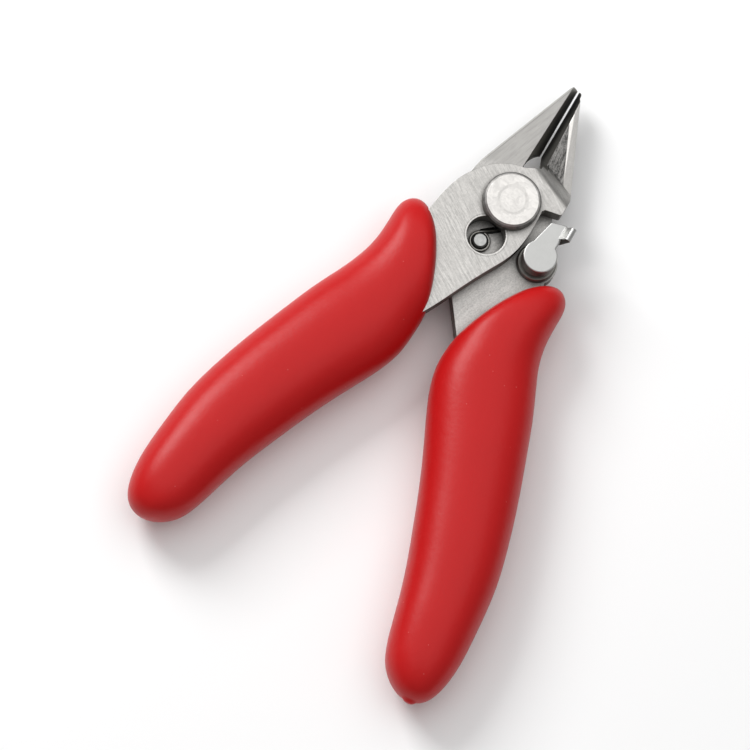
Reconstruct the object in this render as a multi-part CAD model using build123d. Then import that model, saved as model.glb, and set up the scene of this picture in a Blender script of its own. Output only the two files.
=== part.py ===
from build123d import *
import os
from math import asin, atan2, cos, hypot, pi, radians, sin

# Miniature diagonal cutting pliers, lying flat.
# Origin: the pivot axis, on the rear face of the back half. +Y runs to the jaw tips, +Z out of the
# front face. Millimetres. The back half is flat. The front half lies on it and steps down beyond the
# joint, so that both blades stand at the same level.

# --- overall sizes ---
tip_reach = 20.3            # pivot axis to the jaw tips
left_reach = 67.0           # pivot axis to the butt of the left grip, along the handle
right_reach = 70.2          # the same for the right grip
handle_splay = 17.6         # angle of each handle from the centre line, degrees
plate_thickness = 2.5       # both halves are stamped from this sheet

# --- joint ---
lap_gap = 0.05              # oil gap between the two plates
lap_radius = 6.2            # the back plate is round to this radius under the right jaw
lap_clearance = 0.25        # right jaw's root to that round edge
running_clearance = 0.05    # radial, wherever a pin turns in a hole
tail_recess = 0.1           # rivet tails stop this far inside the rear face

# --- pivot rivet ---
rivet_radius = 2.0
rivet_head_radius = 4.0
rivet_head_height = 1.4
rivet_head_chamfer = 0.45
rivet_flare = 0.6           # widening and depth of the countersunk tail

# --- jaws ---
blade_middle = 0.33         # the cutting line lies this far to the right of the pivot axis
blade_gap = 0.24            # between the cutting edges at rest
blade_land = 0.25           # height of the flat land at a cutting edge
bevel_width = 0.9           # width of the ground bevel, seen from the front
throat_height = 9.5         # pivot axis to the inner end of the cutting edges
nose_reach = 0.65           # cutting line to the middle of a jaw's rounded nose
tip_rounding = 0.3          # how far that middle lies back from the tip
shoulder_x = 0.95           # where the nose meets a jaw's outer edge
shoulder_drop = 1.2         # down from the tip
tooth_rounding = 0.35       # at the tooth and notch that the latch locks into
ramp_run = 2.7              # length of the slope from the front plate down to the right jaw
ramp_angle = -23.0          # direction of the ramp's top line, degrees
ramp_distance = 5.4         # pivot axis to the ramp's top line
facet_width = 1.5           # sloped strip along the right jaw's outer edge
facet_drop = 0.5

# --- window, peg and return spring ---
window_x, window_y = -0.7, -5.8
window_radius = 2.7
peg_x, peg_y = -1.05, -6.26
peg_radius = 1.05
peg_tail_radius = 0.7
peg_height = 0.9            # above the back plate
peg_chamfer = 0.2
wire_radius = 0.2
leg_swell = 1.04            # the leg is this much thicker, so that it never lies along the coil's surface
eye_clearance = 0.05        # spring eye to the peg
coil_radius = 2.8           # mean
coil_turns = 1.5
coil_pitch = 0.42
pocket_clearance = 0.25     # coil to the pocket's walls and floor
spring_hole_clearance = 0.1
spring_hole_depth = 1.3

# --- locking latch ---
latch_x, latch_y = 7.05, -4.9
latch_radius = 2.35
latch_thickness = 2.1
latch_edge = 0.2            # rounding of the upper edge
latch_lobe = 0.6            # back plate around the latch, beyond the latch's own radius
arm_length = 5.2            # latch axis to the arm's end
arm_width = 2.35
arm_corner = 0.4
tab_reach = 1.1
tab_rise = 1.7
tab_thickness = 0.65
tab_length = 1.9            # along the arm
tab_edge = 0.3              # rounding of its end
post_radius = 1.2
post_flare = 0.4
post_socket = 1.3           # how far the post is pressed into the latch
washer_radius = 2.7
washer_thickness = 0.9
washer_clearance = 0.2      # right grip's mouth to the washer
cup_radius = 2.1            # conical spring washer
cup_thickness = 0.25
cup_height = 0.85
cup_gap = 0.05              # spring washer to the latch

# --- grips ---
grip_half_thickness = 5.2
drawn_reach = 70.5          # the reach that the grip's stations are drawn for
mouth_length = 24.0         # stations nearer than this keep their places
tang_end = 8.5              # grip beyond the end of the steel inside it
seat_recess = 0.1           # the steel is this much thinner inside a grip, on its outer face

# --- levels ---
lap_plane = plate_thickness + lap_gap / 2
front_floor = plate_thickness + lap_gap
front_top = front_floor + plate_thickness
washer_top = plate_thickness + washer_thickness
latch_floor = washer_top + cup_height + cup_gap
latch_top = latch_floor + latch_thickness

LEFT, RIGHT = -1, 1
far = 3 * tip_reach         # larger than any cut needs


def reach(side):
    return left_reach if side == LEFT else right_reach


def on_handle(side, along, out):
    """The point at a distance along a handle's axis and out from it, away from the other handle."""
    splay = radians(handle_splay)
    return (
        side * (along * sin(splay) + out * cos(splay)),
        -along * cos(splay) + out * sin(splay),
    )


def on_circle(x, y, radius, degrees_ccw):
    angle = radians(degrees_ccw)
    return x + radius * cos(angle), y + radius * sin(angle)


def slab(curves, low, high):
    """A flat piece between two levels, from the curves of its outline."""
    edges = [edge for curve in curves for edge in curve.edges()]
    return extrude(Pos(0, 0, low) * make_face(Wire(edges)), amount=high - low)


def disc(x, y, radius, low, high):
    return Pos(x, y, low) * Cylinder(radius, high - low, align=(Align.CENTER, Align.CENTER, Align.MIN))


def cone(x, y, low_radius, high_radius, low, high):
    upright = (Align.CENTER, Align.CENTER, Align.MIN)
    return Pos(x, y, low) * Cone(low_radius, high_radius, high - low, align=upright)


def rod(start, end, radius):
    """A round bar between two points in space."""
    line = Line(start, end)
    return sweep(Plane(origin=start, z_dir=line % 0) * Circle(radius), path=line)


def round_upright(shape, points, radius):
    """Rounds the upright edges that stand nearest to the given points, seen from above."""
    chosen = []
    for x, y in points:
        upright = shape.edges().filter_by(Axis.Z)
        chosen.append(min(upright, key=lambda edge: hypot(edge.center().X - x, edge.center().Y - y)))
    return fillet(chosen, radius)


# --- shared outlines of the two handles ---

mouth_inner = 19.0, -3.4    # where the edges of the steel enter a grip: along, out
mouth_outer = 9.2, 6.7
root_inner = 23.0, -2.2     # where the full-thickness plate ends inside the grip
root_outer = 14.5, 6.3
tang_inner, tang_outer = -0.2, 5.2


def tang(side):
    """The narrow steel inside a grip, set level with the lap plane by a joggle at its root."""
    end = reach(side) - tang_end
    corners = [
        on_handle(side, along, out)
        for along, out in (
            (root_inner[0] - 4.5, tang_inner),
            (end, tang_inner + 1.2),
            (end, tang_outer - 1.2),
            (root_outer[0] + 3.0, tang_outer),
        )
    ]
    half_sheet = plate_thickness / 2
    return slab([Polyline(*corners, close=True)], lap_plane - half_sheet, lap_plane + half_sheet)


def grip_seat(side, low, high):
    """The region inside a grip, from just outside its mouth, between two levels."""
    just_outside = ((6.3, 8.7), (9.0, 3.4), (12.4, -0.4), (18.4, -5.6))
    mouth = [on_handle(side, along, out) for along, out in just_outside]
    rear = [on_handle(side, along, out) for along, out in ((40, -8), (40, 12))]
    return slab([Spline(*mouth), Polyline(mouth[-1], rear[0], rear[1], mouth[0])], low, high)


def tail_hole(x, y, radius, flare):
    """A hole through the back plate, countersunk at the rear."""
    return disc(x, y, radius, -1, plate_thickness + 1) + cone(x, y, radius + flare, radius, 0, flare)


def bevel_cut(side):
    """The wedge that a blade's ground bevel takes away above its cutting edge."""
    edge = blade_middle + side * blade_gap / 2
    sections = []
    for y, width in ((lap_radius, 1.45 * bevel_width), (tip_reach + 1, 0.8 * bevel_width)):
        outer = edge + side * width * 1.5
        high = blade_land + 1.5 * (plate_thickness - blade_land)
        triangle = Polyline((edge - side * 2, y, blade_land), (edge, y, blade_land), (outer, y, high),
                            (edge - side * 2, y, high), close=True)
        sections.append(make_face(triangle))
    return loft(sections, ruled=True)


# --- back half: right handle, left jaw ---

def back_half():
    left_edge = blade_middle - blade_gap / 2
    throat_start = (left_edge, throat_height)
    lap_start = on_circle(0, 0, lap_radius, 99)
    lap_end = on_circle(0, 0, lap_radius, 8)
    lobe = latch_radius + latch_lobe
    lobe_top = on_circle(latch_x, latch_y, lobe, 42)
    lobe_side = on_circle(latch_x, latch_y, lobe, -5)
    lobe_low = on_circle(latch_x, latch_y, lobe, -38)
    tip = (left_edge, tip_reach)
    shoulder = (-shoulder_x, tip_reach - shoulder_drop)
    jaw_root = (-6.1, 5.0)
    outline = [
        Line(throat_start, tip),
        ThreePointArc(tip, (blade_middle - nose_reach, tip_reach - tip_rounding), shoulder),
        Line(shoulder, jaw_root),
        Spline(jaw_root, (-6.75, 2.4), (-6.9, -0.4), (-6.2, -4.8), (-4.3, -9.2), (-0.5, -15.0),
               on_handle(RIGHT, *mouth_inner), on_handle(RIGHT, *root_inner)),
        Line(on_handle(RIGHT, *root_inner), on_handle(RIGHT, *root_outer)),
        Line(on_handle(RIGHT, *root_outer), lobe_low),
        ThreePointArc(lobe_low, lobe_side, lobe_top),
        Spline(lobe_top, (7.6, -1.2), lap_end),
        ThreePointArc(lap_end, on_circle(0, 0, lap_radius, 55), lap_start),
        Spline(lap_start, (-1.03, 7.2), (-0.8, 8.2), throat_start),
    ]
    half = slab(outline, 0, plate_thickness) + tang(RIGHT)
    half -= grip_seat(RIGHT, -1, seat_recess)
    half -= bevel_cut(LEFT)
    half -= tail_hole(0, 0, rivet_radius, rivet_flare)
    half -= tail_hole(latch_x, latch_y, post_radius + running_clearance, post_flare)
    half -= disc(peg_x, peg_y, peg_tail_radius, -1, plate_thickness + 1)
    # pocket for the return spring, and a channel for its leg up to the window
    floor = spring_floor() - wire_radius - pocket_clearance / 2
    half -= disc(0, 0, coil_radius + wire_radius + pocket_clearance, floor, plate_thickness + 1)
    start, end = leg_line()
    channel_end = [start[i] + (end[i] - start[i]) * 0.15 for i in range(2)]
    channel = SlotCenterToCenter(hypot(end[0] - channel_end[0], end[1] - channel_end[1]),
                                 2 * (wire_radius + pocket_clearance))
    middle = [(end[i] + channel_end[i]) / 2 for i in range(2)]
    angle = atan2(end[1] - start[1], end[0] - start[0]) * 180 / pi
    half -= extrude(Pos(middle[0], middle[1], floor) * Rot(0, 0, angle) * channel, amount=plate_thickness)
    return half


# --- front half: left handle, right jaw ---

def ramp_cut():
    """Everything above the right jaw: a slope that rolls off the front plate, then a level face."""
    profile = [
        Bezier((0, front_top), (1.1, front_top), (ramp_run, plate_thickness)),
        Polyline((ramp_run, plate_thickness), (far, plate_thickness), (far, front_top + 1),
                 (0, front_top + 1), (0, front_top)),
    ]
    across = radians(ramp_angle + 90)
    origin = (ramp_distance * cos(across), ramp_distance * sin(across), 0)
    level, sideways = (cos(across), sin(across), 0), (sin(across), -cos(across), 0)
    section = Plane(origin=origin, x_dir=level, z_dir=sideways)
    edges = [edge for curve in profile for edge in curve.edges()]
    return extrude(section * make_face(Wire(edges)), amount=far, both=True)


def front_half():
    right_edge = blade_middle + blade_gap / 2
    root_radius = lap_radius + lap_clearance
    jaw_tip = (right_edge, tip_reach)
    shoulder = (shoulder_x, tip_reach - shoulder_drop)
    cheek = (6.5, 6.2)
    cheek_low = (6.85, 4.6)
    tooth = (6.8, 2.0)
    jaw_inner = on_circle(0, 0, root_radius, 78)
    jaw_outer = on_circle(0, 0, root_radius, 26)
    # the jaw, at full height until the ramp is cut
    jaw = slab([
        Line(jaw_tip, (right_edge, throat_height)),
        Polyline((right_edge, throat_height), (1.25, 7.2), jaw_inner),
        ThreePointArc(jaw_inner, on_circle(0, 0, root_radius, 50), jaw_outer),
        Polyline(jaw_outer, (6.8, 3.3), cheek_low, cheek, shoulder),
        ThreePointArc(shoulder, (blade_middle + 0.75 * nose_reach, tip_reach - 1.5 * tip_rounding), jaw_tip),
    ], 0, front_top)
    notch = (4.45, 1.5)
    notch_low = (4.2, 1.1)
    brow_start = (-6.45, 1.4)
    brow_end = (-0.7, 5.3)
    plate = slab([
        Spline(on_handle(LEFT, *root_outer), on_handle(LEFT, *mouth_outer), (-8.15, -1.8), (-7.3, 0.2),
               brow_start),
        ThreePointArc(brow_start, (-3.7, 4.2), brow_end),
        Polyline(brow_end, (2.1, 7.0), (5.6, 6.6), cheek, cheek_low, (6.8, 3.3), tooth, notch, notch_low),
        Spline(notch_low, (4.3, -2.4), (3.7, -6.2), (1.9, -10.0), (-0.2, -14.3),
               on_handle(LEFT, *mouth_inner), on_handle(LEFT, *root_inner)),
        Line(on_handle(LEFT, *root_inner), on_handle(LEFT, *root_outer)),
    ], front_floor, front_top)
    half = jaw + round_upright(plate, (tooth, notch), tooth_rounding)
    half -= ramp_cut()
    half -= bevel_cut(RIGHT)
    half -= facet_cut(shoulder, cheek)
    half += tang(LEFT)
    half -= disc(0, 0, rivet_radius + running_clearance, 0, front_top + 1)
    half -= disc(window_x, window_y, window_radius, 0, front_top + 1)
    hole = on_circle(0, 0, coil_radius, coil_end_angle())
    half -= disc(*hole, wire_radius + spring_hole_clearance, 0, front_floor + spring_hole_depth)
    return half


def beyond_ramp(distance, low, high):
    """Everything further from the pivot than a line parallel to the ramp's top, between two levels."""
    block = Pos(0, ramp_distance + distance + far / 2, low) * Box(
        2 * far, far, high - low, align=(Align.CENTER, Align.CENTER, Align.MIN))
    return Rot(0, 0, ramp_angle) * block


def facet_cut(upper, lower):
    """The strip ground off along the right jaw's outer edge, sloping down to that edge."""
    length = hypot(lower[0] - upper[0], lower[1] - upper[1])
    ahead = ((lower[0] - upper[0]) / length, (lower[1] - upper[1]) / length)
    inward = (ahead[1], -ahead[0])
    sections = []
    for reach, width in ((-3, 0.2 * facet_width), (length + 3, facet_width)):
        base = [upper[i] + ahead[i] * reach for i in range(2)]
        drop = 2 * facet_drop * width / facet_width
        corners = [
            (base[0] + inward[0] * offset, base[1] + inward[1] * offset, plate_thickness + level)
            for offset, level in ((width, 0), (-width, -drop), (-width, 1), (width, 1))
        ]
        sections.append(make_face(Polyline(*corners, close=True)))
    return loft(sections, ruled=True) & beyond_ramp(ramp_run, 0, front_top + 1)


# --- return spring ---

def spring_floor():
    """Height of the wire's centre in the lowest turn of the coil."""
    return plate_thickness - pocket_clearance / 2 - wire_radius - coil_turns * coil_pitch


def eye_radius():
    return peg_radius + eye_clearance + wire_radius


def leg_line():
    """The straight leg, from where it leaves the eye to where it runs into the coil, seen from above."""
    distance = hypot(peg_x, peg_y)
    direction = atan2(-peg_y, -peg_x) - asin((coil_radius + eye_radius()) / distance)
    side = (-sin(direction), cos(direction))
    start = (peg_x + eye_radius() * side[0], peg_y + eye_radius() * side[1])
    end = (-coil_radius * side[0], -coil_radius * side[1])
    return start, end


def coil_start_angle():
    _, end = leg_line()
    return atan2(end[1], end[0]) * 180 / pi


def coil_end_angle():
    return coil_start_angle() + 360 * coil_turns


def return_spring():
    low = spring_floor()
    high = low + coil_turns * coil_pitch
    eye_level = plate_thickness + wire_radius + 0.05
    start, end = leg_line()
    helix = Rot(0, 0, coil_start_angle()) * Pos(0, 0, low) * Helix(coil_pitch, high - low, coil_radius)
    coil = sweep(Plane(origin=helix @ 0, z_dir=helix % 0) * Circle(wire_radius), path=helix, is_frenet=True)
    bend = (*on_circle(0, 0, coil_radius, coil_end_angle()), high)
    leg = rod((*start, eye_level), (*end, low), wire_radius * leg_swell)
    eye = Pos(peg_x, peg_y, eye_level) * Torus(eye_radius(), wire_radius)
    leg_top = front_floor + spring_hole_depth - spring_hole_clearance
    turns = coil + Pos(*bend) * Sphere(wire_radius)
    turns += disc(bend[0], bend[1], wire_radius, high, leg_top)
    return (leg + eye) + turns


# --- pins ---

def pivot_rivet():
    under = front_top + running_clearance
    head = disc(0, 0, rivet_head_radius, under, under + rivet_head_height)
    head = chamfer(head.edges().sort_by(Axis.Z)[-1], rivet_head_chamfer)
    body = disc(0, 0, rivet_radius, tail_recess, under)
    flare = cone(0, 0, rivet_radius + rivet_flare - tail_recess, rivet_radius, tail_recess, rivet_flare)
    return head + body + flare


def spring_peg():
    head = disc(peg_x, peg_y, peg_radius, plate_thickness, plate_thickness + peg_height)
    head = chamfer(head.edges().sort_by(Axis.Z)[-1], peg_chamfer)
    return head + disc(peg_x, peg_y, peg_tail_radius, tail_recess, plate_thickness)


def latch_post():
    tail = post_radius + post_flare - tail_recess
    body = disc(latch_x, latch_y, post_radius, tail_recess, latch_floor + post_socket)
    return body + cone(latch_x, latch_y, tail, post_radius, tail_recess, post_flare)


# --- latch and its washers ---

def latch_lever():
    arm_end = latch_y + arm_length
    left = latch_x - 1.0
    right = left + arm_width
    left_corner, right_corner = (left, arm_end - 0.25), (right, arm_end + 0.45)
    arm = make_face(Polyline((latch_x - 1.85, latch_y + 1.4), left_corner, right_corner,
                             (right, latch_y + 2.9), (latch_x + 1.2, latch_y), close=True))
    outline = arm + Pos(latch_x, latch_y) * Circle(latch_radius)
    lever = extrude(Pos(0, 0, latch_floor) * outline, amount=latch_thickness)
    lever = round_upright(lever, (left_corner, right_corner), arm_corner)
    lever = fillet(lever.faces().sort_by(Axis.Z)[-1].outer_wire().edges(), latch_edge)
    # thumb tab, bent up and outwards along the arm's outer edge
    root = right - 0.5
    crest = latch_top + tab_rise
    overhang = right + 0.1 + tab_reach
    profile = Polyline((root, latch_floor), (right + 0.1, latch_floor), (overhang, crest - 0.4),
                       (overhang - tab_thickness, crest), (root, latch_top - latch_edge), close=True)
    section = Plane(origin=(0, arm_end - tab_length, 0), x_dir=(1, 0, 0), z_dir=(0, -1, 0))
    tab = extrude(section * make_face(profile), amount=-tab_length)
    rim = tab.edges().filter_by(Axis.Y).sort_by(Axis.Z)[-2:]
    lever += fillet(rim, tab_edge)
    return lever - disc(latch_x, latch_y, post_radius, 0, latch_floor + post_socket)


def latch_washer():
    ring = disc(latch_x, latch_y, washer_radius, plate_thickness, washer_top)
    ring = chamfer(ring.edges().sort_by(Axis.Z)[-1], 0.15)
    return ring - disc(latch_x, latch_y, post_radius + running_clearance, 0, latch_top)


def spring_washer():
    """A conical washer that presses the latch outwards, so that friction holds it where it is put."""
    bore = post_radius + running_clearance
    profile = Polyline((bore, latch_floor - cup_gap - cup_thickness), (bore, latch_floor - cup_gap),
                       (cup_radius, washer_top + cup_thickness), (cup_radius, washer_top), close=True)
    section = Plane(origin=(latch_x, latch_y, 0), x_dir=(1, 0, 0), z_dir=(0, -1, 0))
    return revolve(section * make_face(profile), Axis((latch_x, latch_y, 0), (0, 0, 1)))


# --- grips ---

def stretched(side, along):
    """A station's place on a grip of this side's length: beyond the mouth the stations spread evenly."""
    if along < mouth_length:
        return along
    return mouth_length + (along - mouth_length) * (reach(side) - mouth_length) / (drawn_reach - mouth_length)


def grip(side, steel):
    """A moulded sleeve: oval sections from its slanted mouth to its rounded butt, less the steel inside."""
    stations = [
        # outer edge (along, out), inner edge (along, out), share of the full thickness
        ((10.3, 3.9), (12.2, 1.0), 0.62),
        ((8.9, 6.9), (15.6, -1.9), 0.74),
        ((9.1, 9.0), (19.6, -4.2), 0.86),
        ((13.0, 9.6), (23.3, -4.9), 0.95),
        ((20.0, 8.5), (27.0, -5.3), 0.99),
        ((30.0, 9.6), (33.0, -5.1), 1.0),
        ((46.0, 9.9), (45.0, -3.6), 1.0),
        ((59.0, 8.3), (57.5, -3.3), 0.95),
        ((65.5, 6.3), (64.3, -3.5), 0.82),
        ((69.0, 4.0), (68.0, -2.4), 0.56),
        ((70.4, 2.2), (70.1, -0.6), 0.28),
    ]
    sections = []
    for outer, inner, share in stations:
        a = on_handle(side, stretched(side, outer[0]), outer[1])
        b = on_handle(side, stretched(side, inner[0]), inner[1])
        middle = ((a[0] + b[0]) / 2, (a[1] + b[1]) / 2, lap_plane)
        width = hypot(a[0] - b[0], a[1] - b[1])
        across = ((a[0] - b[0]) / width, (a[1] - b[1]) / width, 0)
        upright = Plane(origin=middle, x_dir=across, z_dir=(-across[1] * side, across[0] * side, 0))
        sections.append(upright * Ellipse(width / 2, share * grip_half_thickness))
    sleeve = loft(sections) - steel
    if side == RIGHT:
        sleeve -= disc(latch_x, latch_y, washer_radius + washer_clearance, plate_thickness, far)
    return sleeve


def main():
    os.makedirs("parts", exist_ok=True)
    back = back_half()
    front = front_half()
    nodes = {
        "back_half": back,
        "front_half": front,
        "pivot_rivet": pivot_rivet(),
        "spring_peg": spring_peg(),
        "return_spring": return_spring(),
        "latch_lever": latch_lever(),
        "latch_post": latch_post(),
        "latch_washer": latch_washer(),
        "spring_washer": spring_washer(),
        "right_grip": grip(RIGHT, back),
        "left_grip": grip(LEFT, front),
    }
    for name, shape in nodes.items():
        export_step(shape, f"parts/{name}.step")


main()
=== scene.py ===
import bpy
import numpy as np
from bpy.props import FloatProperty, FloatVectorProperty, PointerProperty
from mathutils import Matrix, Vector


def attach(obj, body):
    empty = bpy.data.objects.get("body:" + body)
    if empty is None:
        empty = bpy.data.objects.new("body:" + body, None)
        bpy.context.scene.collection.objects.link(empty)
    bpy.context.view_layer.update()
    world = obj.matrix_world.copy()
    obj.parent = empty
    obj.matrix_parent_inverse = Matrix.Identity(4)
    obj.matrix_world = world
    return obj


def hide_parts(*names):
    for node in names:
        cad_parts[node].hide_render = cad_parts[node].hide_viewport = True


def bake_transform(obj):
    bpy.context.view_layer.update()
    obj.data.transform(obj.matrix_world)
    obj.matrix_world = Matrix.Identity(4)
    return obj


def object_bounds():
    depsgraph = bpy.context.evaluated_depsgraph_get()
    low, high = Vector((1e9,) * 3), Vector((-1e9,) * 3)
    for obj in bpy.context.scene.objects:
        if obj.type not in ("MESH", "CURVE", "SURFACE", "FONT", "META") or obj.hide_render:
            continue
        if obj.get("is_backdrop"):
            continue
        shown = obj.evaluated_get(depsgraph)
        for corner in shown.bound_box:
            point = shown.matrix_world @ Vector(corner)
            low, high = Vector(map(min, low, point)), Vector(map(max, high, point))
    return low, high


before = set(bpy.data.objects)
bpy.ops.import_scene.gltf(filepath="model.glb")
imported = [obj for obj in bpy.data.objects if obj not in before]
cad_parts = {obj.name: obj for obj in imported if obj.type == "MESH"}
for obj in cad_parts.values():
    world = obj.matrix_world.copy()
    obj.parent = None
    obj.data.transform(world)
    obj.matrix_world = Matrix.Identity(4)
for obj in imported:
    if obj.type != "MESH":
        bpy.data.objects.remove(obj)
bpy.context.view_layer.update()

bl_info = {
    "name": "Diagonal Cutting Pliers",
    "version": (1, 0, 0),
    "blender": (4, 5, 0),
    "location": "View3D > Sidebar > Pliers",
    "description": "Moulded grips, a return spring, steel finishes and a studio for miniature side cutters",
    "category": "Object",
}

MM = 0.001
LEFT, RIGHT = -1, 1

# Places that the steel fixes, in millimetres.
LAP_PLANE = 2.525
BACK_TOP = 2.5
FRONT_FLOOR = 2.55
PEG = np.array([-1.05, -6.26])
WINDOW = np.array([-0.7, -5.8])
LATCH = np.array([7.05, -4.9])
BLADE_MIDDLE = 0.33         # the cutting line, right of the pivot
COIL_CLEARANCE = 0.125      # the coil's top to the top of the back plate
EYE_CLEARANCE = 0.05        # the eye to the back plate
WIRE_END = FRONT_FLOOR + 1.2

# Directions of the ground faces, as unit vectors in the plane of the plates.
ACROSS_RAMP = (0.391, 0.921)
INTO_LEFT_JAW = (0.939, -0.343)
INTO_RIGHT_JAW = (-0.919, -0.395)
LEFT_JAW_EDGE = (-6.1, 5.0)
RIGHT_JAW_EDGE = (6.5, 6.2)
DENTS = (4.6, 1.6)

BRUSHING = {"back": 70.0, "front": -34.0, "right jaw": 98.0, "latch": 75.0}
# Painted shade: dark colours for the walls of the turned parts and of the latch.
WALL_SHADE_OF_TURNED = (0.12, 0.113, 0.103)
WALL_SHADE_OF_LATCH = (0.15, 0.143, 0.13)
PIT = (0.12, 0.11, 0.10)
SPECK = (0.8, 0.3, 0.27)


def colour_property(name, description, default):
    return FloatVectorProperty(name=name, description=description, subtype="COLOR", size=3,
                               default=default, min=0.0, max=1.0)


def length_property(name, description, default):
    """A length in metres, from a default in millimetres."""
    return FloatProperty(name=name, description=description, subtype="DISTANCE", unit="LENGTH",
                         default=default * MM)


def angle_property(name, description, default):
    """An angle, from a default in degrees."""
    return FloatProperty(name=name, description=description, subtype="ANGLE", unit="ROTATION",
                         default=np.radians(default))


class GripSettings(bpy.types.PropertyGroup):
    """The two moulded sleeves."""
    handle_splay: angle_property("Handle splay", "Angle of each handle from the centre line", 17.6)
    lean: angle_property("Lean", "Extra swing of the left grip outwards and of the right one inwards", 0.9)
    half_thickness: length_property("Half thickness", "Mid-plane to the top of a grip at its thickest", 5.2)
    left_reach: length_property("Left reach", "Pivot to the butt of the left grip", 67.1)
    right_reach: length_property("Right reach", "Pivot to the butt of the right grip", 70.2)
    mouth_shift: length_property(
        "Mouth shift", "How much further from the pivot the right grip's mouth sits", 1.0)
    fullness: FloatProperty(name="Fullness", description="Exponent of the oval sections, 2 for an ellipse",
                            default=2.25, min=1.6, max=4.0)
    colour: colour_property("Colour", "Body colour of the vinyl", (0.46, 0.0075, 0.008))
    nub_height: length_property("Nub height", "Height of the gate mark on the right grip's butt", 0.35)


class SpringSettings(bpy.types.PropertyGroup):
    """The return spring round the pivot."""
    wire_radius: length_property("Wire radius", "Radius of the drawn wire", 0.2)
    coil_radius: length_property("Coil radius", "Mean radius of the coil", 2.8)
    eye_radius: length_property("Eye radius", "Mean radius of the eye round the peg", 1.3)
    turns: FloatProperty(name="Turns", description="Turns of the coil", default=1.5, min=0.5, max=4.0)
    pitch: length_property("Pitch", "Rise of the coil in one turn", 0.42)
    colour: colour_property("Colour", "Colour of the wire", (0.30, 0.29, 0.27))


class SteelSettings(bpy.types.PropertyGroup):
    """Finishes of the steel parts."""
    plate: colour_property("Plates", "Ground sheet of both halves", (0.50, 0.487, 0.468))
    # The stamped walls' dark colour is painted shade.
    edge: colour_property("Stamped edges", "Walls of the stamped sheet", (0.19, 0.182, 0.17))
    # The bevels' dark colour is painted shade, the darkness of faces turned to dark surroundings.
    bevel: colour_property("Bevels", "Blackened bevels behind the cutting edges", (0.24, 0.232, 0.215))
    rivet: colour_property("Rivets", "Pivot rivet and peg", (0.70, 0.68, 0.655))
    latch: colour_property("Latch", "Satin face of the latch", (0.47, 0.47, 0.46))
    washer: colour_property("Washers", "Washers under the latch", (0.26, 0.25, 0.23))


class StudioSettings(bpy.types.PropertyGroup):
    """Camera, lights and floor."""
    distance: length_property("Distance", "Camera to the point that it looks at", 1000.0)
    lens: FloatProperty(name="Lens", description="Focal length in millimetres", default=358.0,
                        min=20.0, max=2000.0)
    heading: angle_property("Heading", "Turn of the view about the upright axis", 1.3)
    tilt: angle_property("Tilt", "Tilt of the view from straight down", 17.5)
    roll: angle_property("Roll", "Turn of the picture about the line of sight", 29.0)
    floor: colour_property("Floor", "Colour of the floor", (0.9, 0.9, 0.9))
    sky: FloatProperty(name="Sky", description="Strength of the even light from all round",
                       default=0.45, min=0.0)
    horizon: FloatProperty(name="Horizon", description="Share of that light that comes from the horizon",
                           default=0.32, min=0.0, max=1.0)


# ---------------------------------------------------------------- shader arithmetic

class Field:
    """A number that varies over a surface. Arithmetic on it adds Math nodes to its shader."""

    def __init__(self, shader, socket):
        self.shader = shader
        self.socket = socket

    def math(self, operation, *values):
        return self.shader.node("ShaderNodeMath", {"operation": operation}, dict(enumerate(values)))

    def __add__(self, other):
        return self.math("ADD", self, other)

    def __sub__(self, other):
        return self.math("SUBTRACT", self, other)

    def __rsub__(self, other):
        return self.math("SUBTRACT", other, self)

    def __mul__(self, other):
        return self.math("MULTIPLY", self, other)

    def __pow__(self, other):
        return self.math("POWER", self, other)

    def __abs__(self):
        return self.math("ABSOLUTE", self)

    __radd__ = __add__
    __rmul__ = __mul__

    def ramp(self, low, high):
        """0 below low and 1 above high, smooth between them; falls instead where low is above high."""
        return self.shader.node("ShaderNodeMapRange", {"interpolation_type": "SMOOTHSTEP", "clamp": True},
                                {"Value": self, "From Min": low, "From Max": high})

    def most(self, other):
        return self.math("MAXIMUM", self, other)

    def least(self, other):
        return self.math("MINIMUM", self, other)


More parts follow.
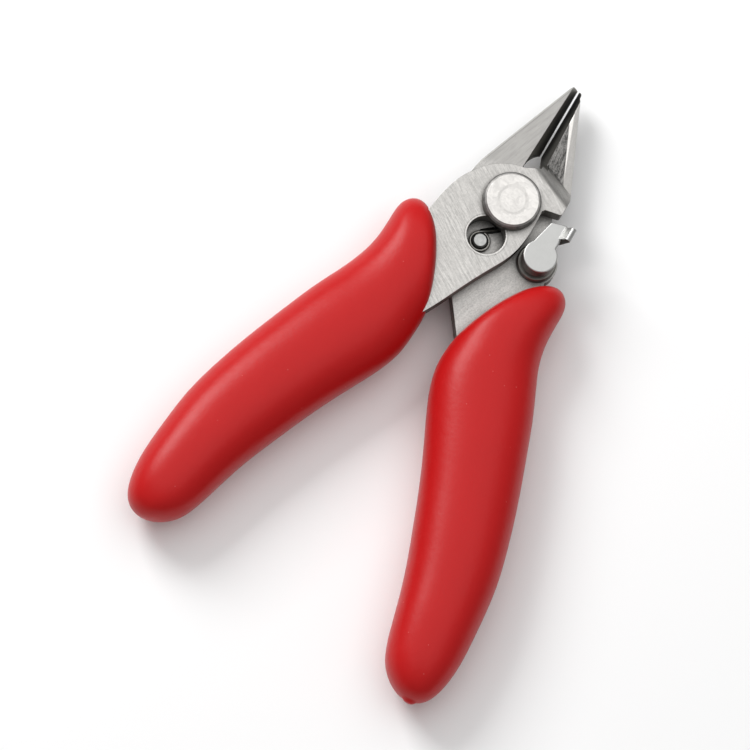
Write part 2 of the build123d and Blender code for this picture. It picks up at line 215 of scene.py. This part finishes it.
class Shader:
    """One material built from nodes around a single Principled shader."""

    def __init__(self, name, **constants):
        self.material = bpy.data.materials.new(name)
        self.material.use_nodes = True
        self.tree = self.material.node_tree
        self.tree.nodes.clear()
        self.surface = self.tree.nodes.new("ShaderNodeBsdfPrincipled")
        output = self.tree.nodes.new("ShaderNodeOutputMaterial")
        self.tree.links.new(self.surface.outputs["BSDF"], output.inputs["Surface"])
        for socket, value in constants.items():
            self.set(socket.replace("_", " ").title().replace("Ior", "IOR"), value)
        self.place = self.node("ShaderNodeTexCoord", output="Object")
        self.facing = self.node("ShaderNodeTexCoord", output="Normal")

    def give(self, socket, value):
        if isinstance(value, Field):
            self.tree.links.new(value.socket, socket)
        elif socket.type == "RGBA" and len(value) == 3:
            socket.default_value = (*value, 1.0)
        else:
            socket.default_value = value

    def set(self, name, value):
        self.give(self.surface.inputs[name], value)

    def node(self, kind, settings=None, inputs=None, output=0):
        """Adds a node: its settings first, then the values or links of its sockets. Returns one output."""
        made = self.tree.nodes.new(kind)
        for name, value in (settings or {}).items():
            setattr(made, name, value)
        for name, value in (inputs or {}).items():
            self.give(made.inputs[name], value)
        return Field(self, made.outputs[output])

    def parts(self, vector):
        """The three numbers of a vector."""
        made = self.tree.nodes.new("ShaderNodeSeparateXYZ")
        self.give(made.inputs[0], vector)
        return [Field(self, made.outputs[i]) for i in range(3)]

    def in_mm(self):
        """The three coordinates of the surface point, in millimetres."""
        return self.parts(self.stretched((1.0, 1.0, 1.0)))

    def stretched(self, repeats, turn=0.0, centre=(0.0, 0.0, 0.0)):
        """Object coordinates in millimetres, about a centre, turned by degrees about Z and multiplied."""
        moved = self.node("ShaderNodeMapping", {"vector_type": "TEXTURE"}, {
            "Vector": self.place, "Location": tuple(c * MM for c in centre),
            "Rotation": (0.0, 0.0, np.radians(turn)), "Scale": (MM, MM, MM)})
        return self.node("ShaderNodeVectorMath", {"operation": "MULTIPLY"}, {0: moved, 1: repeats})

    def noise(self, where, detail=2.0, rough=0.5, distortion=0.0):
        return self.node("ShaderNodeTexNoise", inputs={
            "Vector": where, "Scale": 1.0, "Detail": detail, "Roughness": rough, "Distortion": distortion})

    def spots(self, where, size):
        """1 in the middle of scattered round spots of this radius, in the units of the coordinates."""
        return self.node("ShaderNodeTexVoronoi", inputs={"Vector": where, "Scale": 1.0},
                         output="Distance").ramp(size, size * 0.5)

    def blend(self, share, first, second):
        """A colour that goes from the first to the second with the share."""
        made = self.tree.nodes.new("ShaderNodeMix")
        made.data_type = "RGBA"
        self.give(made.inputs[0], share)
        self.give(made.inputs[6], first)
        self.give(made.inputs[7], second)
        return Field(self, made.outputs[2])

    def scaled(self, colour, amount):
        return self.node("ShaderNodeVectorMath", {"operation": "SCALE"}, {0: colour, "Scale": amount})

    def crevice_shade(self, reach):
        """1 on open surfaces, down to 0 in corners closed within a reach in millimetres. It masks the shade
        painted into corners.
        """
        return self.node("ShaderNodeAmbientOcclusion", {"samples": 8}, {"Distance": reach * MM}, output="AO")

    def relief(self, height, depth, normal=None):
        """Raises the surface by the height, times a depth in millimetres, over a base normal if there is
        one."""
        inputs = {"Strength": 1.0, "Distance": depth * MM, "Height": height}
        if normal is not None:
            inputs["Normal"] = normal
        self.set("Normal", self.node("ShaderNodeBump", inputs=inputs, output="Normal"))


# ---------------------------------------------------------------- surfaces

def natural_spline(knots, values, at):
    """Natural cubic spline through the values at the knots, one column each, read at the given places.
    The second derivatives solve the usual tridiagonal system, whose ends are zero."""
    step = np.diff(knots)
    slope = np.diff(values, axis=0) / step[:, None]
    count = len(knots)
    system = np.eye(count)
    inner = np.arange(1, count - 1)
    system[inner, inner - 1] = step[:-1]
    system[inner, inner] = 2 * (step[:-1] + step[1:])
    system[inner, inner + 1] = step[1:]
    right = np.zeros_like(values)
    right[1:-1] = 6 * np.diff(slope, axis=0)
    bend = np.linalg.solve(system, right)
    i = np.clip(np.searchsorted(knots, at, side="right") - 1, 0, count - 2)
    after, before, width = (at - knots[i])[:, None], (knots[i + 1] - at)[:, None], step[i][:, None]
    return ((bend[i] * before**3 + bend[i + 1] * after**3) / (6 * width)
            + (values[i] / width - bend[i] * width / 6) * before
            + (values[i + 1] / width - bend[i + 1] * width / 6) * after)


def closed_tube(rows):
    """Vertices and faces of a closed surface from a (rows, columns, 3) grid. Columns run round it, and each
    end is closed by a fan to the middle of its row."""
    count, around, _ = rows.shape
    points = np.concatenate([rows.reshape(-1, 3), rows[:1].mean(axis=1), rows[-1:].mean(axis=1)])
    row, column = np.meshgrid(np.arange(count - 1), np.arange(around), indexing="ij")
    beside = (column + 1) % around
    quads = np.stack([row * around + column, row * around + beside,
                      (row + 1) * around + beside, (row + 1) * around + column], axis=-1).reshape(-1, 4)
    ring = np.arange(around)
    after = (ring + 1) % around
    start, end = count * around, count * around + 1
    last = (count - 1) * around
    first_fan = np.stack([np.full(around, start), after, ring], axis=-1)
    last_fan = np.stack([np.full(around, end), last + ring, last + after], axis=-1)
    return points, [*quads.tolist(), *first_fan.tolist(), *last_fan.tolist()]


def piece(name, points, faces, slot):
    """A smooth mesh object at the origin, from points in millimetres."""
    mesh = bpy.data.meshes.new(name)
    mesh.from_pydata((points * MM).tolist(), [], faces)
    mesh.polygons.foreach_set("use_smooth", np.ones(len(mesh.polygons), dtype=bool))
    mesh.update()
    made = bpy.data.objects.new(name, mesh)
    bpy.context.scene.collection.objects.link(made)
    return made


# Each row: outer edge (along the handle, out from its axis), inner edge, and share of the half thickness.
GRIP_STATIONS = np.array([
    (12.2, 2.00, 12.2, 2.00, 0.00),
    (10.2, 4.40, 14.3, 0.00, 0.45),
    (9.1, 6.50, 17.0, -2.15, 0.74),
    (8.8, 8.30, 19.3, -3.55, 0.87),
    (9.5, 9.60, 21.2, -4.25, 0.92),
    (11.1, 10.15, 22.9, -4.75, 0.94),
    (13.3, 9.70, 24.6, -5.10, 0.95),
    (16.3, 8.85, 26.4, -5.25, 0.96),
    (19.5, 8.45, 28.4, -5.20, 0.97),
    (23.0, 8.60, 30.5, -5.00, 0.98),
    (27.5, 9.10, 33.2, -4.65, 0.99),
    (33.5, 9.45, 37.0, -4.15, 1.0),
    (40.5, 9.70, 42.0, -3.65, 1.0),
    (47.0, 9.65, 47.5, -3.30, 1.0),
    (53.0, 9.20, 53.0, -3.05, 0.99),
    (59.0, 8.05, 58.5, -3.15, 0.96),
    (64.0, 6.80, 63.0, -3.30, 0.88),
    (67.6, 5.30, 66.6, -2.75, 0.74),
    (69.8, 3.50, 69.3, -0.90, 0.45),
    (70.4, 1.30, 70.4, 1.30, 0.00),
])
DRAWN_REACH = 70.4
FIRST_STRETCHED = 24.0


def grip_surface(side, settings, rows=260, around=144):
    """A moulded sleeve. Stations give the two edges and the thickness; they are carried past each pole with
    the edges exchanged and the thickness reversed, and a cubic spline runs through them. A section is the
    superellipse |c|^n + |s|^n = 1, with c across from edge to edge and s upright."""
    reach = (settings.left_reach if side == LEFT else settings.right_reach) / MM
    swap = [2, 3, 0, 1, 4]
    flip = np.array([1, 1, 1, 1, -1])
    before = (GRIP_STATIONS[1:3][::-1][:, swap]) * flip
    after = (GRIP_STATIONS[-3:-1][::-1][:, swap]) * flip
    stations = np.concatenate([before, GRIP_STATIONS, after])
    stations[:, 4] *= settings.half_thickness / MM
    knots = np.concatenate([[0], np.cumsum(np.linalg.norm(np.diff(stations, axis=0), axis=1) ** 0.75)])
    low, high = knots[2], knots[-3]
    # rows are closer together near both ends
    share = (1 - np.cos(np.linspace(0.02, np.pi - 0.02, rows))) / 2
    where = low + (high - low) * share
    outer_along, outer_out, inner_along, inner_out, half = natural_spline(knots, stations, where).T

    angle = np.linspace(0, 2 * np.pi, around, endpoint=False)
    power = 2 / settings.fullness
    across = np.sign(np.cos(angle)) * np.abs(np.cos(angle)) ** power
    upright = np.sign(np.sin(angle)) * np.abs(np.sin(angle)) ** power
    middle_along = (outer_along + inner_along) / 2
    middle_out = (outer_out + inner_out) / 2
    along = middle_along[:, None] + np.outer((outer_along - inner_along) / 2, across)
    out = middle_out[:, None] + np.outer((outer_out - inner_out) / 2, across)
    level = LAP_PLANE + np.outer(half, upright)

    far = np.clip((along - FIRST_STRETCHED) / (DRAWN_REACH - FIRST_STRETCHED), 0, None)
    near = np.clip((FIRST_STRETCHED - along) / 6, 0, 1)
    mouth = settings.mouth_shift / MM * (0.8 if side == RIGHT else -0.2)
    along = along + far * (reach - DRAWN_REACH) + near * near * (3 - 2 * near) * mouth
    if side == RIGHT:
        # the gate mark, a low round nub on the butt
        away = np.hypot(out - 1.2, (level - LAP_PLANE) * 1.3)
        nub = np.exp(-(away / 0.9) ** 4) * (along > 60)
        along = along + nub * settings.nub_height / MM
    lean = -side * settings.lean
    turned_along = 20 + (along - 20) * np.cos(lean) - out * np.sin(lean)
    turned_out = (along - 20) * np.sin(lean) + out * np.cos(lean)
    splay = settings.handle_splay
    x = side * (turned_along * np.sin(splay) + turned_out * np.cos(splay))
    y = -turned_along * np.cos(splay) + turned_out * np.sin(splay)
    grid = np.stack([x, y, level], axis=-1)
    return grid[:, ::-1] if side == LEFT else grid


def wire(path, heading, radius, around=20):
    """A round wire along a path. Each ring stands square to the path: one axis is level, at right angles to
    the heading, and the other is the cross product of the path's direction with it."""
    ahead = np.gradient(path, axis=0)
    ahead /= np.linalg.norm(ahead, axis=1)[:, None]
    level = np.stack([-np.sin(heading), np.cos(heading), np.zeros_like(heading)], axis=-1)
    upright = np.cross(ahead, level)
    upright /= np.linalg.norm(upright, axis=1)[:, None]
    angle = np.linspace(0, 2 * np.pi, around, endpoint=False)
    return (path[:, None] + radius * (np.cos(angle)[None, :, None] * level[:, None]
                                      + np.sin(angle)[None, :, None] * upright[:, None]))


def spring_paths(settings):
    """The wire's centre line and heading in two parts. The first goes round the peg and along the leg, and
    the second is the coil, a helix, and its end, which turns up into the front plate on a quarter circle."""
    coil, eye = settings.coil_radius / MM, settings.eye_radius / MM
    wire_radius, pitch = settings.wire_radius / MM, settings.pitch / MM
    low = BACK_TOP - COIL_CLEARANCE - wire_radius - settings.turns * pitch
    eye_level = BACK_TOP + wire_radius + EYE_CLEARANCE
    distance = np.hypot(*PEG)
    heading = np.arctan2(-PEG[1], -PEG[0]) - np.arcsin((coil + eye) / distance)
    side = np.array([-np.sin(heading), np.cos(heading)])
    start, end = PEG + eye * side, -coil * side

    turn = np.linspace(np.radians(318), 0, 90)
    loop_angle = heading + np.pi / 2 + turn
    loop = np.stack([PEG[0] + eye * np.cos(loop_angle), PEG[1] + eye * np.sin(loop_angle),
                     np.full_like(turn, eye_level)], axis=-1)
    share = np.linspace(0, 1, 41)[1:]
    drop = share * share * (3 - 2 * share)
    leg = np.stack([start[0] + (end[0] - start[0]) * share, start[1] + (end[1] - start[1]) * share,
                    eye_level + (low - eye_level) * drop], axis=-1)
    leg_path = np.concatenate([loop, leg])
    leg_heading = np.concatenate([heading + turn, np.full_like(share, heading)])

    sweep = np.linspace(0, 2 * np.pi * settings.turns, 150)
    begin = heading - np.pi / 2
    helix = np.stack([coil * np.cos(begin + sweep), coil * np.sin(begin + sweep),
                      low + pitch * sweep / (2 * np.pi)], axis=-1)
    last = helix[-1]
    final = heading + sweep[-1]
    bend = 0.35
    rise = np.linspace(0, np.pi / 2, 12)[1:]
    forward = np.array([np.cos(final), np.sin(final), 0.0])
    elbow = last + bend * (np.sin(rise)[:, None] * forward + (1 - np.cos(rise))[:, None] * [0, 0, 1.0])
    tail = np.linspace(elbow[-1], [*elbow[-1][:2], WIRE_END], 8)[1:]
    coil_path = np.concatenate([helix, elbow, tail])
    coil_heading = np.concatenate([heading + sweep, np.full(len(rise) + len(tail), final)])
    return (leg_path, leg_heading), (coil_path, coil_heading), (low, low + pitch * settings.turns)


# ---------------------------------------------------------------- finishes

def strokes(shader, turn, across=3.4, along=0.3):
    """Grinding lines: noise drawn out along one direction, in two sizes. Repeats are in each millimetre."""
    broad = shader.noise(shader.stretched((along, across, 1.0), turn), 3.0, 0.7)
    narrow = shader.noise(shader.stretched((along * 2.5, across * 2.4, 1.0), turn + 5), 2.0, 0.6)
    return broad * 0.6 + narrow * 0.4


def band(distance, low, high, soft=0.05):
    """1 between two values of a distance, with soft ends."""
    return distance.ramp(low - soft, low + soft) * distance.ramp(high + soft, high - soft)


def past_edge(fields, edge, direction):
    """Distance past a line through a point, square to the line: the offset's product with the direction."""
    return (fields["x"] - float(edge[0])) * direction[0] + (fields["y"] - float(edge[1])) * direction[1]


def away_from(fields, centre):
    """Distance from an upright line through a point."""
    x, y = fields["x"] - float(centre[0]), fields["y"] - float(centre[1])
    return (x * x + y * y) ** 0.5


def steel_relief(shader, height, depth, edge=0.1):
    """Raises the surface over normals that are rounded at the edges by a small radius in millimetres."""
    rounded = shader.node("ShaderNodeBevel", {"samples": 6}, {"Radius": edge * MM}, output="Normal")
    shader.relief(height, depth, rounded)


def ground_steel(name, turn):
    """Shared part of the plates' finish. Returns the shader and a dictionary of its fields."""
    shader = Shader(name, metallic=1.0)
    x, y, _ = shader.in_mm()
    _, _, up = shader.parts(shader.facing)
    fields = {
        "x": x,
        "y": y,
        "cloud": shader.noise(shader.stretched((0.3, 0.3, 0.3)), 3.0, 0.6),
        "lines": strokes(shader, turn),
        "grain": shader.noise(shader.stretched((4.5, 4.5, 4.5)), 3.0, 0.7),
        "crevice_shade": shader.crevice_shade(2.2),
        # mask of the walls, which get painted shade
        "wall": abs(up).ramp(0.6, 0.25),
    }
    slanted = abs(up).ramp(0.86, 0.78) * abs(up).ramp(0.12, 0.2)
    # mask of the bevels behind the cutting edges, which get painted shade
    fields["bevel"] = slanted * y.ramp(6.9, 7.2) * abs(x - BLADE_MIDDLE).ramp(1.9, 1.75)
    return shader, fields


def finish_plate(shader, fields, settings, face, rough, height, bevel_shade_tone):
    """Puts pits, walls darkened with painted shade, the bevel darkened with painted shade, and painted shade
    in corners and crevices over a face colour.
    """
    grain, crevice_shade, cloud = fields["grain"], fields["crevice_shade"], fields["cloud"]
    pits = shader.spots(shader.stretched((1.3, 1.3, 1.3)), 0.09) * cloud.ramp(0.48, 0.6)
    streak = shader.noise(shader.stretched((2.6, 2.6, 0.35)), 3.0, 0.7)
    face = shader.blend(pits * 0.7, face, PIT)
    # painted shade: the walls take the dark colour of the stamped edges
    colour = shader.blend(fields["wall"], face, shader.scaled(settings.edge, 0.5 + streak))
    # painted shade: the bevel behind each cutting edge is darkened, with grain
    bevel_shade = shader.scaled(settings.bevel, bevel_shade_tone * (0.65 + grain * 0.7))
    colour = shader.blend(fields["bevel"], colour, bevel_shade)
    # painted shade: the colour darkens in corners and crevices
    colour = shader.scaled(colour, 0.25 + 0.75 * crevice_shade.ramp(0.15, 0.85))
    shader.set("Base Color", colour)
    shader.set("Roughness", (rough + fields["wall"] * 0.15 + pits * 0.2).least(0.8))
    steel_relief(shader, height - pits * 1.2, 0.015)
    return shader.material


def back_plate_finish(settings):
    """Back half: a smoother and darker jaw with a thin ground line along its outer edge, and a grainier
    lobe under the latch."""
    shader, f = ground_steel("back_plate_steel", BRUSHING["back"])
    jaw = (f["y"] - f["x"] * 0.35).ramp(5.6, 7.2) * f["x"].ramp(1.5, 0.9)
    inward = past_edge(f, LEFT_JAW_EDGE, INTO_LEFT_JAW)
    edge_line = band(inward, 0.22, 0.30, 0.04) * jaw
    edge_strip = inward.ramp(0.24, 0.2) * jaw
    speckle = f["grain"].ramp(0.35, 0.65) - 0.5
    tone = 0.86 + (f["lines"].ramp(0.3, 0.7) - 0.5) * 0.22 + f["cloud"] * 0.12
    tone = tone + speckle * 0.22 * (1 - jaw)
    tone = tone * (1 - jaw * 0.20) - edge_line * 0.3 + edge_strip * 0.12
    face = shader.scaled(settings.plate, tone)
    rough = 0.36 + f["lines"] * 0.16 - jaw * 0.03
    height = f["lines"] * 0.8 + f["grain"] * 1.0 * (1 - jaw * 0.7)
    return finish_plate(shader, f, settings, face, rough, height, 1.25)


def front_plate_finish(settings):
    """Front half: hatched face, a ramp darkened with painted shade, a speckled band of painted shade beside
    the right bevel with a painted highlight on its outer facet, a painted highlight round the window's rim
    with a painted shadow outside it, and a few dents beside the rivet."""
    shader, f = ground_steel("front_plate_steel", BRUSHING["front"])
    cloud, grain, lines = f["cloud"], f["grain"], f["lines"]
    beyond = past_edge(f, (0.0, 0.0), ACROSS_RAMP)
    jaw = beyond.ramp(7.95, 8.15)
    # painted shade: the ramp is darkened by a quarter, and it is also a little rougher
    ramp = band(beyond, 5.75, 8.05, 0.3)
    cross = strokes(shader, BRUSHING["right jaw"], 3.2, 0.45)
    inward = past_edge(f, RIGHT_JAW_EDGE, INTO_RIGHT_JAW)
    # painted highlight on the outer facet of the right jaw, painted shade with speckle over the rest of the
    # jaw beyond the ramp
    facet_highlight = inward.ramp(1.28, 1.16) * jaw
    shade = jaw * (1 - facet_highlight)
    hole = away_from(f, WINDOW)
    # painted highlight on the window's rim, and a painted shadow just outside it
    rim_highlight = band(hole, 2.7, 2.84, 0.05)
    rim_shadow = band(hole, 2.92, 3.02, 0.06)
    hatch = lines.ramp(0.30, 0.70) - 0.5
    speckle = grain.ramp(0.35, 0.65) - 0.5
    strength = 0.22 + 0.34 * cloud.ramp(0.35, 0.6)
    tone = 0.95 + hatch * strength * (1 - jaw) + cloud * 0.12 - 0.05 + speckle * 0.14
    tone = tone * (1 - ramp * 0.24) + facet_highlight * (0.46 + (cross - 0.5) * 0.6)
    tone = tone - shade * (0.74 + (cross.ramp(0.35, 0.65) - 0.5) * 0.40 - grain * 0.20)
    tone = tone + rim_highlight * 0.22 - rim_shadow * 0.35
    face = shader.scaled(settings.plate, tone.most(0.1))
    rough = 0.36 + lines * 0.14 + shade * 0.10 + ramp * 0.06
    lumps = shader.noise(shader.stretched((2.6, 2.6, 2.6)), 2.0, 0.6, 1.0)
    dents = away_from(f, DENTS).ramp(1.6, 0.6) * lumps
    height = lines * 0.8 * (1 - jaw) + cross * jaw * 0.9 + grain * 0.4 + dents * 4.0
    return finish_plate(shader, f, settings, face, rough, height, 0.55)


def turned_finish(name, colour, centre, face_radius, marks=0.0):
    """Turned steel: fine rings about the part's own axis, a flat face, and painted shade on the chamfer,
    beyond the face's edge and on the outer wall. Marks add the stained arc that heading leaves round the
    middle of the face."""
    shader = Shader(name, metallic=1.0)
    x, y, _ = shader.parts(shader.stretched((1.0, 1.0, 1.0), 0.0, (*centre, 0.0)))
    _, _, up = shader.parts(shader.facing)
    radius = (x * x + y * y) ** 0.5
    mottle = shader.noise(shader.stretched((1.0, 1.0, 1.0)), 4.0, 0.65, 0.9)
    outwards = shader.node("ShaderNodeCombineXYZ", inputs={0: radius * 6.0, 1: mottle * 1.5, 2: 0.0})
    rings = shader.noise(outwards, 2.0, 0.6)
    wavering = radius + (mottle - 0.5) * 0.5
    arc = band(wavering, face_radius * 0.5, face_radius * 0.62, 0.12) * mottle.ramp(0.4, 0.6)
    chamfer_shade = radius.ramp(face_radius + 0.02, face_radius + 0.06)
    outer = radius.ramp(face_radius + 0.22, face_radius + 0.34)
    wall = abs(up).ramp(0.5, 0.15)
    tone = 0.86 + rings * 0.14 + (mottle.ramp(0.3, 0.7) - 0.5) * 0.22 - arc * marks
    # painted shade: darker on the chamfer and further out from the face, and the walls take a dark colour
    tone = tone - chamfer_shade * 0.22 - outer * 0.42
    shader.set("Base Color", shader.blend(wall, shader.scaled(colour, tone), WALL_SHADE_OF_TURNED))
    shader.set("Roughness", 0.36 + rings * 0.14 + wall * 0.1)
    steel_relief(shader, rings * 0.5 + mottle * 0.7, 0.014, 0.06)
    return shader.material


def satin_finish(name, colour):
    """Satin stamped steel, nearly even, with painted shade on the walls and in corners."""
    shader = Shader(name, metallic=1.0)
    _, _, up = shader.parts(shader.facing)
    cloud = shader.noise(shader.stretched((0.8, 0.8, 0.8)), 3.0, 0.6)
    grain = shader.noise(shader.stretched((6.0, 6.0, 6.0)), 2.0, 0.6)
    lines = strokes(shader, BRUSHING["latch"], 3.0, 0.5)
    wall = abs(up).ramp(0.5, 0.15)
    crevice_shade = shader.crevice_shade(1.5)
    face = shader.scaled(colour, 0.86 + cloud * 0.14 + grain * 0.06 + lines * 0.08)
    # painted shade: the walls take a dark colour and the colour darkens in corners
    dressed = shader.blend(wall, face, WALL_SHADE_OF_LATCH)
    shader.set("Base Color", shader.scaled(dressed, 0.4 + 0.6 * crevice_shade.ramp(0.1, 0.7)))
    shader.set("Roughness", 0.40 + cloud * 0.08 + wall * 0.05)
    steel_relief(shader, grain * 0.6 + lines * 0.4, 0.010, 0.12)
    return shader.material


def wire_finish(name, colour):
    """Drawn wire with small dark spots of oil."""
    shader = Shader(name, metallic=1.0)
    spots = shader.noise(shader.stretched((3.0, 3.0, 3.0)), 3.0, 0.7)
    shader.set("Base Color", shader.scaled(colour, 0.6 + spots * 0.8))
    shader.set("Roughness", 0.28 + spots * 0.2)
    shader.relief(spots, 0.006)
    return shader.material


def vinyl_finish(name, colour):
    """Satin moulded vinyl: a slow change of tone, faint flow lines and a few specks."""
    shader = Shader(name, ior=1.5)
    shader.set("Specular IOR Level", 0.22)
    cloud = shader.noise(shader.stretched((0.09, 0.09, 0.09)), 3.0, 0.55)
    fine = shader.noise(shader.stretched((0.9, 0.9, 0.9)), 4.0, 0.6)
    skin = shader.noise(shader.stretched((5.0, 5.0, 5.0)), 3.0, 0.6)
    specks = shader.spots(shader.stretched((0.42, 0.42, 0.42)), 0.04)
    colour = shader.scaled(colour, 0.93 + cloud * 0.10 + fine * 0.05)
    shader.set("Base Color", shader.blend(specks * 0.25, colour, SPECK))
    shader.set("Roughness", 0.27 + fine * 0.10 + cloud * 0.06)
    shader.relief(fine * 0.7 + skin * 0.2 + specks * 0.3, 0.045)
    return shader.material


def dress(node, material):
    """Gives a CAD node one material."""
    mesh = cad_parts[node].data
    mesh.materials.clear()
    mesh.materials.append(material)


# ---------------------------------------------------------------- operators

class PLIERS_OT_grips(bpy.types.Operator):
    """Make the two moulded grips"""
    bl_idname = "pliers.grips"
    bl_label = "Make Grips"

    def execute(self, context):
        settings = context.scene.pliers_grips
        vinyl = vinyl_finish("grip_vinyl", settings.colour)
        for side, name, node, body in ((LEFT, "left_sleeve", "left_grip", "front"),
                                       (RIGHT, "right_sleeve", "right_grip", "back")):
            sleeve = piece(name, *closed_tube(grip_surface(side, settings)), "grip_vinyl")
            sleeve.data.materials.append(vinyl)
            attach(sleeve, body)
            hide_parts(node)
        return {"FINISHED"}


class PLIERS_OT_spring(bpy.types.Operator):
    """Make the return spring's leg and coil"""
    bl_idname = "pliers.spring"
    bl_label = "Make Return Spring"

    def execute(self, context):
        settings = context.scene.pliers_spring
        drawn = wire_finish("spring_wire", settings.colour)
        leg, coil, (low, high) = spring_paths(settings)
        radius = settings.wire_radius / MM
        for name, (path, heading) in (("spring_leg", leg), ("spring_coil", coil)):
            made = piece(name, *closed_tube(wire(path, heading, radius)), "spring_steel")
            made.data.materials.append(drawn)
            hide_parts("return_spring")
            if name == "spring_leg":
                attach(made, "back")
            else:
                low * MM
                high * MM
                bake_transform(made)
        return {"FINISHED"}


class PLIERS_OT_steel(bpy.types.Operator):
    """Finish the plates, rivets, latch and washers"""
    bl_idname = "pliers.steel"
    bl_label = "Finish Steel"

    def execute(self, context):
        steel = context.scene.pliers_steel
        dress("back_half", back_plate_finish(steel))
        dress("front_half", front_plate_finish(steel))
        dress("pivot_rivet", turned_finish("pivot_rivet_steel", steel.rivet, (0.0, 0.0), 3.5, 0.26))
        dress("spring_peg", turned_finish("peg_steel", steel.latch, tuple(PEG), 0.8, 0.2))
        dress("latch_post", turned_finish("post_steel", steel.rivet, tuple(LATCH), 1.6))
        dress("latch_lever", satin_finish("latch_satin", steel.latch))
        dress("latch_washer", turned_finish("washer_steel", steel.washer, tuple(LATCH), 2.5))
        dress("spring_washer", turned_finish("cup_steel", steel.washer, tuple(LATCH), 2.0))
        return {"FINISHED"}


class PLIERS_OT_studio(bpy.types.Operator):
    """Set up the floor, the soft lights and the camera"""
    bl_idname = "pliers.studio"
    bl_label = "Set Up Studio"

    def execute(self, context):
        studio = context.scene.pliers_studio
        lowest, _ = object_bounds()
        self.floor(studio, lowest.z)
        self.world(studio)
        target = Vector((-4.1 * MM, -30.0 * MM, BACK_TOP * MM))
        self.light("overhead", target, (-0.05, 0.15, 0.55), 0.8, 1.9)
        self.light("key", target, (-0.50, 0.20, 0.40), 0.3, 3.4)
        self.camera(studio, target)
        context.scene.view_settings.view_transform = "Standard"
        return {"FINISHED"}

    def floor(self, studio, level):
        """A wide flat sheet just under the lowest point."""
        reach = 6.0
        corners = np.array([(-reach, -reach), (reach, -reach), (reach, reach), (-reach, reach)])
        points = np.column_stack([corners, np.full(4, level - 0.02 * MM)])
        mesh = bpy.data.meshes.new("floor")
        mesh.from_pydata(points.tolist(), [], [(0, 1, 2, 3)])
        sheet = bpy.data.objects.new("floor", mesh)
        bpy.context.scene.collection.objects.link(sheet)
        paper = Shader("floor_paper", roughness=0.9)
        paper.set("Base Color", tuple(studio.floor))
        mesh.materials.append(paper.material)
        sheet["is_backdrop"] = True

    def world(self, studio):
        """An even white dome that fades towards the horizon."""
        world = bpy.data.worlds.new("studio")
        world.use_nodes = True
        tree = world.node_tree
        direction = tree.nodes.new("ShaderNodeTexCoord")
        split = tree.nodes.new("ShaderNodeSeparateXYZ")
        fade = tree.nodes.new("ShaderNodeMapRange")
        fade.interpolation_type = "SMOOTHSTEP"
        fade.inputs["From Min"].default_value = -0.1
        fade.inputs["From Max"].default_value = 0.9
        fade.inputs["To Min"].default_value = studio.horizon * studio.sky
        fade.inputs["To Max"].default_value = studio.sky
        tree.nodes["Background"].inputs["Color"].default_value = (1.0, 1.0, 1.0, 1.0)
        tree.links.new(direction.outputs["Generated"], split.inputs[0])
        tree.links.new(split.outputs["Z"], fade.inputs["Value"])
        tree.links.new(fade.outputs[0], tree.nodes["Background"].inputs["Strength"])
        bpy.context.scene.world = world

    def light(self, name, target, offset, size, power):
        """A square area light, aimed at the target from an offset in metres."""
        data = bpy.data.lights.new(name, "AREA")
        data.size = size
        data.energy = power
        lamp = bpy.data.objects.new(name, data)
        lamp.location = target + Vector(offset)
        lamp.rotation_euler = (-Vector(offset)).to_track_quat("-Z", "Y").to_euler()
        bpy.context.scene.collection.objects.link(lamp)

    def camera(self, studio, target):
        """Looks at the target: heading, tilt and roll turn it from looking straight down."""
        turned = (Matrix.Rotation(studio.heading, 4, "Z") @ Matrix.Rotation(studio.tilt, 4, "X")
                  @ Matrix.Rotation(studio.roll, 4, "Z"))
        data = bpy.data.cameras.new("camera")
        data.lens = studio.lens
        data.sensor_width = 36.0
        data.clip_start, data.clip_end = 0.01, 20.0
        camera = bpy.data.objects.new("camera", data)
        camera.matrix_world = Matrix.Translation(target + turned.col[2].xyz * studio.distance) @ turned
        bpy.context.scene.collection.objects.link(camera)
        bpy.context.scene.camera = camera


class PLIERS_PT_panel(bpy.types.Panel):
    """Sizes, colours and steps of the pliers"""
    bl_label = "Cutting Pliers"
    bl_idname = "PLIERS_PT_panel"
    bl_space_type = "VIEW_3D"
    bl_region_type = "UI"
    bl_category = "Pliers"

    def draw(self, context):
        for group, operator in STEPS:
            box = self.layout.box()
            settings = getattr(context.scene, group)
            for name in settings.__annotations__:
                box.prop(settings, name)
            box.operator(operator)


GROUPS = {
    "pliers_grips": GripSettings,
    "pliers_spring": SpringSettings,
    "pliers_steel": SteelSettings,
    "pliers_studio": StudioSettings,
}
STEPS = [
    ("pliers_grips", "pliers.grips"),
    ("pliers_spring", "pliers.spring"),
    ("pliers_steel", "pliers.steel"),
    ("pliers_studio", "pliers.studio"),
]
CLASSES = [*GROUPS.values(), PLIERS_OT_grips, PLIERS_OT_spring, PLIERS_OT_steel, PLIERS_OT_studio,
           PLIERS_PT_panel]


def register():
    for cls in CLASSES:
        bpy.utils.register_class(cls)
    for name, group in GROUPS.items():
        setattr(bpy.types.Scene, name, PointerProperty(type=group))


def unregister():
    for name in GROUPS:
        delattr(bpy.types.Scene, name)
    for cls in reversed(CLASSES):
        bpy.utils.unregister_class(cls)


def main():
    register()
    bpy.ops.pliers.grips()
    bpy.ops.pliers.spring()
    bpy.ops.pliers.steel()
    bpy.ops.pliers.studio()


if __name__ == "__main__":
    main()
